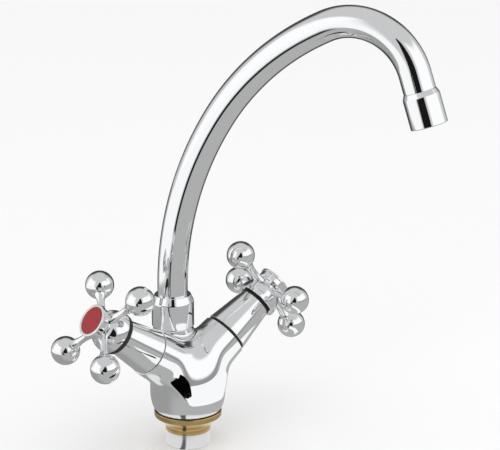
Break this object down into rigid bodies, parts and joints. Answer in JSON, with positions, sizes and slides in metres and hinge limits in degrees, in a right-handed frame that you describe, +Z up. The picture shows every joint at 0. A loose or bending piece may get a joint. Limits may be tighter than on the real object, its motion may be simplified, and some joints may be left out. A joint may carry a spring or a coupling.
{
  "type": "two handle kitchen faucet",
  "caption": "Deck-mounted kitchen mixer tap with a Y-shaped cast body, tilted cross handles with hot and cold index buttons, and a swivelling swan-neck spout ending in an aerator.",
  "frame": {"origin": "on the base axis, in the plane where the shank leaves the lower edge of the base ring", "axes": "+Z up along the base and shank axis, the user stands at -Y, the hot valve is at -X and the cold valve at +X"},
  "size_m": [0.1767, 0.1781, 0.283],
  "materials": {
    "chrome": "mirror-polished plating",
    "shank_metal": "machined and plated, slightly duller",
    "polished_brass": "polished, gold coloured",
    "raw_brass": "machined",
    "screw_steel": "plain steel",
    "rubber": "matt black",
    "fibre": "vulcanised fibre",
    "ceramic": "lapped ceramic",
    "slip_plastic": "natural acetal",
    "insert_plastic": "moulded grey insert",
    "index_red": "glossy red",
    "index_blue": "glossy blue"
  },
  "bodies": {
    "faucet_body": {"body": "chrome", "shank": "shank_metal", "base_ring": "polished_brass", "base_gasket": "rubber", "spout_nut": "chrome", "hot_sleeve": "chrome", "hot_seam_ring": "rubber", "hot_headwork": "raw_brass", "hot_headwork_washer": "fibre", "hot_seat_seal": "rubber", "hot_fixed_disc": "ceramic", "cold_sleeve": "chrome", "cold_seam_ring": "rubber", "cold_headwork": "raw_brass", "cold_headwork_washer": "fibre", "cold_seat_seal": "rubber", "cold_fixed_disc": "ceramic"},
    "spout": {"spout_tube": "chrome", "spout_foot": "raw_brass", "spout_oring_lower": "rubber", "spout_oring_upper": "rubber", "slip_ring": "slip_plastic", "spout_tip": "chrome", "aerator_housing": "chrome", "aerator_insert": "insert_plastic", "aerator_washer": "rubber"},
    "hot_valve": {"hot_handle": "chrome", "hot_handle_screw": "screw_steel", "hot_index_button": "chrome", "hot_index_disc": "index_red", "hot_spindle": "raw_brass", "hot_turning_disc": "ceramic", "hot_spindle_oring": "rubber", "hot_circlip": "screw_steel"},
    "cold_valve": {"cold_handle": "chrome", "cold_handle_screw": "screw_steel", "cold_index_button": "chrome", "cold_index_disc": "index_blue", "cold_spindle": "raw_brass", "cold_turning_disc": "ceramic", "cold_spindle_oring": "rubber", "cold_circlip": "screw_steel"}
  },
  "joints": [
    {"name": "hot_handle_turn", "type": "hinge", "parent": "faucet_body", "child": "hot_valve", "pos_m": [0, 0, 0.0365], "axis": [-0.8141, 0, 0.5807], "range_deg": [0, 180]},
    {"name": "cold_handle_turn", "type": "hinge", "parent": "faucet_body", "child": "cold_valve", "pos_m": [0, 0, 0.0365], "axis": [-0.8141, 0, -0.5807], "range_deg": [0, 180]},
    {"name": "spout_swivel", "type": "hinge", "parent": "faucet_body", "child": "spout", "pos_m": [0, 0.016, 0.064], "axis": [0, 0, 1], "continuous": true}
  ]
}
